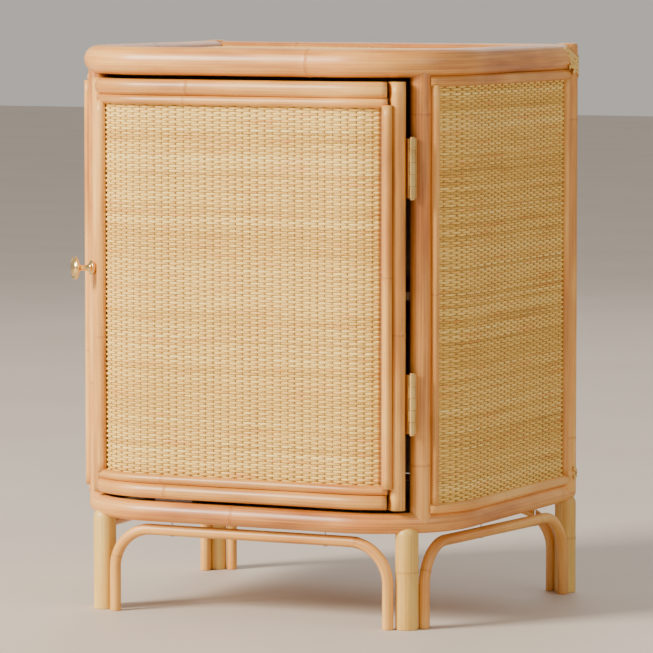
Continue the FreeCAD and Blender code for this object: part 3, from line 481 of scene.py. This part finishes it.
def bent_arch(name, centre, angle, half, top, seed):
    """Cane bent into an arch between two legs."""
    bend, radius = ARCH_BEND, ARCH_R
    rise, curve, run = top - bend, bend * QUARTER, 2 * (half - bend)
    length = 2 * (rise + curve) + run
    rings = spots(length, 60, 330, seed)
    along = stations(length, 4.0, rings, (0.3, 0.8, length - 0.3, length - 0.8))
    side, z = np.zeros(len(along)), np.zeros(len(along))
    for i, s in enumerate(along):
        if s < rise:
            side[i], z[i] = -half, s
        elif s < rise + curve:
            a = (s - rise) / bend
            side[i], z[i] = -half + bend - bend * math.cos(a), rise + bend * math.sin(a)
        elif s < rise + curve + run:
            side[i], z[i] = -half + bend + s - rise - curve, top
        elif s < length - rise:
            a = (s - rise - curve - run) / bend
            side[i], z[i] = half - bend + bend * math.sin(a), rise + bend * math.cos(a)
        else:
            side[i], z[i] = half, length - s
    direction = np.array([math.cos(angle), math.sin(angle), 0.0])
    across = np.array([-math.sin(angle), math.cos(angle), 0.0])
    path = np.array([centre[0], centre[1], 0.0]) + side[:, None] * direction + z[:, None] * UP
    scale = end_rounding(along, length, radius, 0.8)
    tone = 0.55 + 0.2 * np.sin(along / 60.0 + seed)
    build = Builder()
    build.seed = seed * 1000.0
    build.sweep(path, across, circle(radius - 0.12, 20), scale, rings, tone, 0.010)
    return build.make(name, SPLIT, "cabinet", "rattan_cane", name)


def upright_pole(name, x, y, low, high, radius, material_used, seed, **shape):
    """Straight pole standing at a place on the plan."""
    straight(name, (x, y, low), (x, y, high), radius, material_used, seed, **shape)


def poles():
    """Every pole and cane of the case."""
    hoop("top_hoop", TOP_Z, TOP_R, TOP_HOOP_END, POLE, False, 3)
    hoop("bottom_hoop", LOW_Z, LOW_R, LOW_HOOP_END, POLE, True, 5)
    for name, half, level, radius, seed in (("top_back_rail", REAR_X, TOP_Z, TOP_RAIL_R, 2),
                                            ("bottom_back_rail", LOW_RAIL_END, LOW_Z, LOW_RAIL_R, 6)):
        straight(name, (-half, REAR_Y, level), (half, REAR_Y, level), radius, POLE, seed)
    for side, word, seed in ((-1, "left", 11), (1, "right", 12)):
        rear_x = side * REAR_X
        upright_pole("rear_%s_post" % word, rear_x, REAR_Y, LOW_Z, REAR_POST_TOP, REAR_R, SPLIT, seed,
                     edge=3.5)
        centre, out, door = post_axes(side)
        foot = centre + out * POST_REACH[side] - door * POST_SHIFT[side]
        upright_pole("front_%s_post" % word, foot[0], foot[1], LOW_Z, TOP_Z, FRONT_POST_R, POLE,
                     seed + 4)
        upright_pole("front_%s_leg" % word, side * LEG_X, LEG_Y, 0, LEG_TOP, LEG_R, PALE_POLE,
                     seed + 8, domed=9.0, gap=400)
        upright_pole("rear_%s_leg" % word, rear_x, REAR_Y, 0, LEG_TOP, REAR_R, PALE_POLE, seed + 12,
                     domed=9.0, gap=400)
    bent_arch("front_arch", FRONT_ARCH, 0.0, FRONT_ARCH_HALF, ARCH_TOP, 31)
    bent_arch("back_arch", BACK_ARCH, 0.0, BACK_ARCH_HALF, ARCH_TOP, 32)
    for side, word, seed in ((-1, "left", 33), (1, "right", 34)):
        bent_arch("%s_arch" % word, (side * SIDE_ARCH_X, SIDE_ARCH_Y), side * SIDE_ARCH_TURN,
                  SIDE_ARCH_HALF, SIDE_ARCH_TOP, seed)


# ---------------------------------------------------------------- split cane trim

def plan_strip(build, t0, t1, low, high, back, face, rounding, seed, wave=0.006):
    """Horizontal split cane along the plan; back and face are offsets from the centre line."""
    length = abs(t1 - t0)
    rings = spots(length, 60 + 27 * (seed % 5), 420, seed)
    along = stations(length, 6.0, rings)
    mid = (low + high) / 2
    profile = crowned(-(high - low) / 2, (high - low) / 2, 0.0, face - back, rounding[0], rounding[1])
    tone = 0.5 + 0.25 * np.sin(along / 140.0 + seed * 1.3)
    path = plan_path(t0 + along, mid, back)
    build.sweep(path, UP, profile, None, rings, tone, wave)


def upright_strip(build, side, near, far, low, high, back, face, rounding, seed):
    """Upright split cane beside a front post; near and far are distances towards the door."""
    middle, out, door = post_axes(side)
    length = high - low
    rings = spots(length, 70 + 37 * (seed % 5), 400, seed)
    along = stations(length, 12.0, rings)
    origin = middle + out * (CORNER + back) + door * (near + far) / 2
    path = origin + UP * (low + along)[:, None]
    half = abs(far - near) / 2
    profile = crowned(-half, half, 0.0, face - back, rounding[0], rounding[1])
    tone = 0.5 + 0.25 * np.sin(along / 110.0 + seed * 2.1)
    build.sweep(path, np.cross(out, UP), profile, None, rings, tone, 0.006)


def door_trim():
    """Rails, stiles and beading of the door."""
    back = DOOR_FACE - DOOR_THICK
    for word, low, rail, seed in (("bottom", DOOR_LOW, LOW_RAIL, 41), ("top", DOOR_HIGH - RAIL, RAIL, 42)):
        build = Builder()
        build.seed = seed * 1000.0
        t0, t1 = plan_door(-1, GAPS[-1] + STILE - 1.5, back), plan_door(1, GAPS[1] + STILE - 1.5, back)
        plan_strip(build, t0, t1, low, low + rail, back, DOOR_FACE, (7.2, 7.0), seed)
        build.make("door_%s_rail" % word, SPLIT, "door", "rattan_pole", "door_%s_rail" % word)
    for side, word, seed in ((1, "hinge", 43), (-1, "latch", 44)):
        build = Builder()
        build.seed = seed * 1000.0
        gap = GAPS[side]
        upright_strip(build, side, gap, gap + STILE, DOOR_LOW, DOOR_HIGH, back, DOOR_FACE - 0.9,
                      (6.6, 6.4), seed)
        build.make("door_%s_stile" % word, SPLIT, "door", "rattan_pole", "door_%s_stile" % word)
    build = Builder()
    build.seed = 45000.0
    low, high = DOOR_LOW + LOW_RAIL, DOOR_HIGH - RAIL
    face, base = DOOR_FACE - 1.5, 0.9
    t0, t1 = plan_door(-1, GAPS[-1] + STILE + 1.0, base), plan_door(1, GAPS[1] + STILE + 1.0, base)
    plan_strip(build, t0, t1, low, low + DOOR_BEAD, base, face, (4.8, 5.4), 46)
    plan_strip(build, t0, t1, high - DOOR_BEAD, high, base, face, (4.8, 5.4), 47)
    for side in (-1, 1):
        near = GAPS[side] + STILE
        upright_strip(build, side, near, near + DOOR_BEAD, low + DOOR_BEAD - 3, high - DOOR_BEAD + 3, base,
                      face - 0.4, (4.8, 5.4), 48 + side)
    build.make("door_beading", SPLIT, "door", "beading", "door_beading")


def side_trim():
    """Beading of the side walls."""
    low, high, face = WALL_LOW, WALL_HIGH, 11.5
    for side, word in ((-1, "left"), (1, "right")):
        build = Builder()
        build.seed = 51000.0 + side * 700
        back = 5.0
        shift = POST_SHIFT[side]
        start, end = plan_door(1, -6.5 - shift, back), plan_end(170.0, back)
        t0, t1 = (start, end) if side > 0 else (-end, -start)
        plan_strip(build, t0, t1, low - 2.4, low + 9, back, face, (4.6, 5.2), 52 + side)
        plan_strip(build, t0, t1, high - 9, high + 2.4, back, face, (4.6, 5.2), 55 + side)
        near = SIDE_BEAD_START - shift
        far = near + SIDE_BEAD
        upright_strip(build, side, near, far, low + 7, high - 7, back - 1.0, face, (4.4, 5.2), 58 + side)
        rear = REAR_Y - REAR_R - 9 + 2.5
        length = high - low - 14
        along = stations(length, 12.0)
        path = np.array([side * (HALF_WIDTH + back), rear + 4.5, 0]) + UP * (low + 7 + along)[:, None]
        profile = crowned(-4.5, 4.5, 0.0, face - back, 4.3, 5.2)
        build.sweep(path, (0, -side, 0), profile, None, spots(length, 90, 260, 61), 0.5, 0.006)
        build.make("%s_side_beading" % word, SPLIT, "cabinet", "beading", "%s_side_beading" % word)


def back_trim():
    """Beading of the back wall."""
    build = Builder()
    build.seed = 63000.0
    low, high, y = WALL_LOW, WALL_HIGH, REAR_Y + 2.0
    outer = REAR_X - 6.0
    inner = REAR_X - REAR_R - 9 + 2
    flat = crowned(-4.5, 4.5, 0.0, 6.5, 4.3, 5.2)
    for z in (low + 4.5, high - 4.5):
        along = stations(outer * 2, 14.0)
        path = np.stack([outer - along, np.full_like(along, y), np.full_like(along, z)], -1)
        build.sweep(path, UP, flat, None, spots(outer * 2, 80, 260, int(z)), 0.5, 0.006)
    for x in (-inner - 4.5, inner + 4.5):
        length = high - low - 14
        along = stations(length, 12.0)
        path = np.array([x, y, low + 7]) + UP * along[:, None]
        build.sweep(path, (1, 0, 0), flat, None, spots(length, 70, 250, int(x + 900)), 0.5, 0.006)
    build.make("back_beading", SPLIT, "cabinet", "beading", "back_beading")


# ---------------------------------------------------------------- woven panels

def stake_places(start, end, pitch, source):
    """Centres of the stakes between two ends, slightly uneven."""
    count = max(2, int(round((end - start) / pitch)))
    step = (end - start) / count
    places = start + step * (np.arange(count + 1))
    places[1:-1] += (source.rand(count - 1) - 0.5) * step * 0.12
    return places


WEFT_SHAPE = np.array([[1.36, -0.10], [0.80, 0.30], [-0.80, 0.30], [-1.36, -0.10], [0.0, -0.34]])
STAKE_SHAPE = np.array([[1.5, -0.25], [0.9, 0.45], [-0.9, 0.45], [-1.5, -0.25],
                        [-0.8, -0.5], [0.8, -0.5]])
STAKE_PITCH, WEFT_PITCH = 8.6, 2.56


def weave(name, surface, start, end, low, high, body, node_name, seed, tone_depth, segments=4,
          rise=0.85):
    """Plain weave: thin wefts over one stake and under the next, beside upright stakes.

    surface(s, h) gives the point and outward direction at s along the panel, h proud of it.
    """
    source = np.random.RandomState(seed)
    places = stake_places(start, end, STAKE_PITCH, source)
    count = len(places)
    phase = np.arange((count - 1) * segments + 1) / segments
    along = np.interp(phase, np.arange(count), places)
    rows = int(round((high - low) / WEFT_PITCH))
    pitch = (high - low) / rows
    walk = np.cumsum(source.randn(rows) * 0.16)
    walk = walk - np.convolve(walk, np.ones(31) / 31, "same")
    tones = np.clip(0.5 + tone_depth * (source.randn(rows) * 0.55 + walk), 0.02, 0.98)
    up = surface(along, 0.0)[2]
    for half, word in ((0, "a"), (1, "b")):
        build = Builder()
        chosen = np.arange(half, rows, 2)
        centre = low + (chosen + 0.5) * pitch
        drift = source.randn(len(chosen), 3) * 0.10
        lift = (np.sin(along[None] / 47.0 + drift[:, :1] * 30) * 0.10
                + np.sin(along[None] / 19.0 + drift[:, 1:2] * 30) * 0.05)
        wave = rise * np.cos(math.pi * (phase[None] + half))
        wave = wave * (1 + 0.10 * source.randn(len(chosen), 1))
        wide = 1 + 0.05 * np.cos(2 * math.pi * phase)[None] + 0.03 * source.randn(len(chosen), 1)
        base, out, up = surface(along, 0.0)
        height = centre[:, None, None] + lift[:, :, None] + WEFT_SHAPE[:, 0] * wide[:, :, None]
        depth = wave[:, :, None] + WEFT_SHAPE[:, 1]
        grid = (base[None, :, None] + up * height[..., None] + out[None, :, None] * depth[..., None])
        grain = np.stack([np.broadcast_to(along[None, :, None] + chosen[:, None, None] * 371.0, height.shape),
                          np.broadcast_to(WEFT_SHAPE[:, 0], height.shape) + chosen[:, None, None] * 17.0,
                          np.broadcast_to(WEFT_SHAPE[:, 1], height.shape)], -1)
        tone = np.broadcast_to(tones[chosen][:, None, None], height.shape)
        build.skin(grid, grain, tone, np.zeros(height.shape))
        build.make("%s_wefts_%s" % (name, word), WEFT, body, "weave", node_name)
    build = Builder()
    build.seed = seed * 500.0
    for place in places[1:-1]:
        base, out, up = surface(np.array([place]), 0.0)
        points = base[0] + up * np.linspace(low + 0.3, high - 0.3, 28)[:, None]
        build.sweep(points, np.cross(out[0], up), STAKE_SHAPE, None, (), 0.3 + 0.5 * source.rand())
    build.make("%s_stakes" % name, STAKE, body, "weave", node_name)


def plan_surface(off):
    """Upright surface that follows the plan."""
    def at(s, h):
        point, out = plan(s, off + h)
        return point, out, UP
    return at


def flat_surface(origin, direction, out, up):
    """Flat surface through a point."""
    origin, direction, out, up = (np.array(v, float) for v in (origin, direction, out, up))

    def at(s, h):
        s = np.asarray(s, float)
        point = origin + direction * s[:, None] + out * h
        return point, np.broadcast_to(out, point.shape), up
    return at


def woven_panels():
    """Wefts and stakes of every woven panel."""
    off = 2.4
    start = plan_door(-1, GAPS[-1] + STILE + DOOR_BEAD - 1.5, off)
    end = plan_door(1, GAPS[1] + STILE + DOOR_BEAD - 1.5, off)
    low, high = DOOR_LOW + LOW_RAIL + DOOR_BEAD, DOOR_HIGH - RAIL - DOOR_BEAD
    weave("door_weave", plan_surface(off), start, end, low - 1.5, high + 1.5, "door", "door_weave", 71, 0.30)
    off = 6.5
    last = plan_end(156.0, off)
    low, high = WALL_LOW + 8, WALL_HIGH - 8
    for side, word, seed in ((1, "right", 72), (-1, "left", 73)):
        first = plan_door(1, -17.0 - POST_SHIFT[side], off)
        start, end = (first, last) if side > 0 else (-last, -first)
        name = "%s_side_weave" % word
        weave(name, plan_surface(off), start, end, low, high, "cabinet", name, seed, 0.30)
    half = REAR_X - REAR_R - 6
    weave("back_weave", flat_surface((0, REAR_Y + 3.6, 0), (-1, 0, 0), (0, 1, 0), UP), -half, half, low, high,
          "cabinet", "back_weave", 74, 0.35, segments=3)


def top_sheet():
    """Woven sheet let into the top: its rows run from side to side and stop at the hoop."""
    source = np.random.RandomState(75)
    inset = 10.5
    level = 592.2
    back, front = 169.0, FRONT + inset
    places = stake_places(-205.0, 205.0, STAKE_PITCH, source)
    rows = int(round((back - front) / WEFT_PITCH))
    pitch = (back - front) / rows
    for half, word in ((0, "a"), (1, "b")):
        build = Builder()
        for row in range(half, rows, 2):
            y = front + (row + 0.5) * pitch
            reach = HALF_FRONT + CORNER - inset
            if y < CORNER_Y:
                reach = HALF_FRONT + math.sqrt(max((CORNER - inset) ** 2 - (y - CORNER_Y) ** 2, 1.0))
            phase = np.arange((len(places) - 1) * 3 + 1) / 3
            along = np.interp(phase, np.arange(len(places)), places)
            inside = np.abs(along) < reach + 1.5
            if inside.sum() < 4:
                continue
            along, phase = along[inside], phase[inside]
            wave = 0.75 * np.cos(math.pi * (phase + half))
            grid = np.stack([np.broadcast_to(along[:, None], (len(along), 5)),
                             y + np.broadcast_to(WEFT_SHAPE[:, 0], (len(along), 5)),
                             level + wave[:, None] + WEFT_SHAPE[:, 1]], -1)
            grain = np.stack([np.broadcast_to(along[:, None] + row * 371.0, (len(along), 5)),
                              np.broadcast_to(WEFT_SHAPE[:, 0] + row * 17.0, (len(along), 5)),
                              np.broadcast_to(WEFT_SHAPE[:, 1], (len(along), 5))], -1)
            tone = np.full((len(along), 5), np.clip(0.5 + 0.2 * source.randn(), 0, 1))
            build.skin(grid[None, :, ::-1], grain[:, ::-1], tone, np.zeros_like(tone))
        build.make("top_weave_wefts_%s" % word, WEFT, "cabinet", "weave", "top_weave")
    build = Builder()
    for x in places[1:-1]:
        first = front
        if abs(x) > HALF_FRONT:
            first = CORNER_Y - math.sqrt(max((CORNER - inset) ** 2 - (abs(x) - HALF_FRONT) ** 2, 1.0))
        points = np.stack([np.full(24, x), np.linspace(first, back, 24), np.full(24, level)], -1)
        build.sweep(points, (-1, 0, 0), STAKE_SHAPE * [1, -1], None, (), 0.3 + 0.5 * source.rand())
    build.make("top_weave_stakes", STAKE, "cabinet", "weave", "top_weave")


# ---------------------------------------------------------------- lashings at the rear corners

def lash_path(side, z0, z1, level, radius, ahead, behind):
    """Line round the outside of a rear corner joint, climbing or falling as it goes."""
    steps = 40
    share = np.linspace(0, 1, steps)
    z = z0 + (z1 - z0) * share
    quarter = REAR_R * QUARTER
    s = share * (ahead + behind + quarter) - ahead
    x, y = np.zeros(steps), np.zeros(steps)
    for i, d in enumerate(s):
        swell = math.sqrt(max((radius - 0.5) ** 2 - (z[i] - level) ** 2, 0.0))
        if d < 0:
            flat = max(HALF_WIDTH + swell - REAR_X, 0.0)
            out = REAR_R + (flat - REAR_R) * min(-d / 5.0, 1.0) if flat > REAR_R - 3 else REAR_R
            x[i], y[i] = REAR_X + out + 0.35, REAR_Y + d
        elif d > quarter:
            swell = min(swell, TOP_RAIL_R - 1.0)
            out = REAR_R + (swell - REAR_R) * min((d - quarter) / 5.0, 1.0) if swell > REAR_R - 3 else REAR_R
            x[i], y[i] = REAR_X - (d - quarter), REAR_Y + out + 0.35
        else:
            a = d / REAR_R
            x[i], y[i] = REAR_X + (REAR_R + 0.35) * math.cos(a), REAR_Y + (REAR_R + 0.35) * math.sin(a)
    normal = np.gradient(np.stack([x, y, np.zeros(steps)], -1), axis=0)
    normal = np.cross(normal / np.linalg.norm(normal, axis=1)[:, None], UP)
    path = np.stack([x * side, y, z], -1)
    normal[:, 0] *= side
    return path, normal


def lashings():
    """Strips of split cane lashed over the rear corner joints."""
    strip = np.array([[2.4, -0.35], [1.9, 0.32], [0.7, 0.5], [-0.7, 0.5], [-1.9, 0.32],
                      [-2.4, -0.35], [0, -0.4]])
    build = Builder()
    build.seed = 81000.0
    for side in (-1, 1):
        for z0, z1, level, radius, ahead, behind in (
                (574.0, 592.0, TOP_Z, TOP_R, 22.0, 8.0), (568.0, 582.0, TOP_Z, TOP_R, 12.0, 8.0),
                (594.0, 571.0, TOP_Z, TOP_R, 30.0, 10.0), (588.0, 565.0, TOP_Z, TOP_R, 26.0, 9.0),
                (582.0, 560.0, TOP_Z, TOP_R, 21.0, 8.0), (576.0, 556.0, TOP_Z, TOP_R, 14.0, 7.0),
                (137.0, 126.5, LOW_Z, LOW_R, 6.0, 6.0), (127.0, 133.5, LOW_Z, LOW_R, 5.0, 5.0)):
            path, normal = lash_path(side, z0, z1, level, radius, ahead, behind)
            tangent = np.gradient(path, axis=0)
            tangent /= np.linalg.norm(tangent, axis=1)[:, None]
            across = np.cross(normal, tangent)
            build.sweep(path, across, strip, None, (), 0.75)
    build.make("corner_lashings", PALE_POLE, "cabinet", "binding", "corner_bindings")


# ---------------------------------------------------------------- knob

def knob():
    """Turned brass knob on the latch stile."""
    offset = GAPS[-1] + STILE / 2
    total = POST_ANGLE + math.asin(offset / (CORNER + DOOR_FACE))
    out = np.array([-math.cos(total), -math.sin(total), 0.0])
    base = np.array([-HALF_FRONT, CORNER_Y, KNOB_LEVEL]) + out * (CORNER + DOOR_FACE)
    profile = [(-1.2, 7.6), (0.6, 8.0), (1.6, 8.1), (2.3, 7.6), (2.8, 6.4), (3.4, 5.2), (4.4, 4.1),
               (5.8, 3.3),
               (8.0, 2.9), (11.5, 2.9), (13.8, 3.2), (15.0, 3.9), (16.1, 5.8), (17.0, 8.6), (18.0, 11.2),
               (18.8, 12.2), (19.6, 12.5), (20.5, 12.45), (21.1, 12.0), (21.35, 11.2), (21.2, 10.3),
               (20.7, 9.9), (20.7, 9.5), (21.4, 9.1), (22.1, 8.2), (22.7, 6.6), (23.1, 4.4), (23.3, 2.0),
               (23.35, 0.5)]
    sides = 56
    a = np.arange(sides) * 2 * math.pi / sides
    across = np.cross(UP, out)
    build = Builder()
    grid = np.array([[base + out * h + (across * math.cos(t) + UP * math.sin(t)) * r for t in a]
                     for h, r in profile])
    grain = grid.copy()
    build.skin(grid[None], grain, np.zeros(grid.shape[:2]), np.zeros(grid.shape[:2]))
    build.make("turned_knob", BRASS, "door", "brass", "knob")


# ---------------------------------------------------------------- CAD pieces that stay

def dress_cad():
    """Materials for the CAD pieces that are shown as they are."""
    looks = {
        BOARD: ["top_panel", "bottom_panel", "shelf", "shelf_cleats", "left_side_panel", "right_side_panel",
                "back_panel", "door_panel"],
        BRASS: ["upper_hinge_frame_leaf", "upper_hinge_door_leaf", "upper_hinge_pin",
                "lower_hinge_frame_leaf", "lower_hinge_door_leaf", "lower_hinge_pin",
                "frame_hinge_screws", "door_hinge_screws"],
        STEEL: ["arch_pins", "knob_screw", "catch_plate"],
        CATCH: ["catch_body"],
    }
    for look, names in looks.items():
        for name in names:
            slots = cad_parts[name].data.materials
            slots.clear()
            slots.append(look)


# ---------------------------------------------------------------- studio

def area(name, place, target, size, power, colour):
    """Soft rectangular light aimed at a point."""
    data = bpy.data.lights.new(name, "AREA")
    data.shape = "RECTANGLE"
    data.size, data.size_y = size
    data.energy = power
    data.color = colour
    item = bpy.data.objects.new(name, data)
    bpy.context.scene.collection.objects.link(item)
    item.location = place
    direction = np.array(target) - np.array(place)
    length = np.linalg.norm(direction)
    pitch = math.acos(-direction[2] / length)
    item.rotation_euler = (pitch, 0.0, math.atan2(direction[1], direction[0]) - QUARTER)


def studio():
    """Pale floor, soft lights and the camera."""
    build_floor = bpy.data.meshes.new("floor")
    reach = 14.0
    build_floor.from_pydata([(-reach, -reach, 0), (reach, -reach, 0), (reach, reach, 0), (-reach, reach, 0)],
                            [], [(0, 1, 2, 3)])
    floor = bpy.data.objects.new("floor", build_floor)
    bpy.context.scene.collection.objects.link(floor)
    made, tree, shader = material("pale_floor")
    where = node(tree, "ShaderNodeTexCoord").outputs["Object"]
    cloud = noise(tree, where, (3, 3, 3), 3.0)
    tree.links.new(ramp(tree, cloud, [(0.3, (0.60, 0.52, 0.45)), (0.7, (0.64, 0.56, 0.49))]),
                   shader.inputs["Base Color"])
    shader.inputs["Roughness"].default_value = 0.6
    build_floor.materials.append(made)
    world = bpy.data.worlds.new("studio")
    bpy.context.scene.world = world
    world.use_nodes = True
    back = world.node_tree.nodes["Background"]
    back.inputs["Color"].default_value = (0.94, 0.89, 0.82, 1)
    back.inputs["Strength"].default_value = 0.55
    area("key", (-2.6, -3.4, 2.5), (0, 0, 0.3), (1.5, 1.5), 500, (1.0, 0.94, 0.81))
    area("fill", (3.6, -1.2, 1.6), (0, 0, 0.3), (1.8, 1.8), 30, (1.0, 0.95, 0.89))
    area("rear", (-1.0, 3.4, 2.6), (0, 0, 0.4), (2.0, 2.0), 30, (1.0, 0.97, 0.93))
    data = bpy.data.cameras.new("camera")
    data.sensor_width = 36.0
    data.lens = 250.9
    data.clip_end = 60.0
    camera = bpy.data.objects.new("camera", data)
    bpy.context.scene.collection.objects.link(camera)
    camera.location = (2.1492, -4.3837, 0.6942)
    camera.rotation_euler = (math.radians(85.344), 0.0, math.radians(26.010))
    bpy.context.scene.camera = camera


poles()
door_trim()
side_trim()
back_trim()
woven_panels()
top_sheet()
lashings()
knob()
dress_cad()
studio()
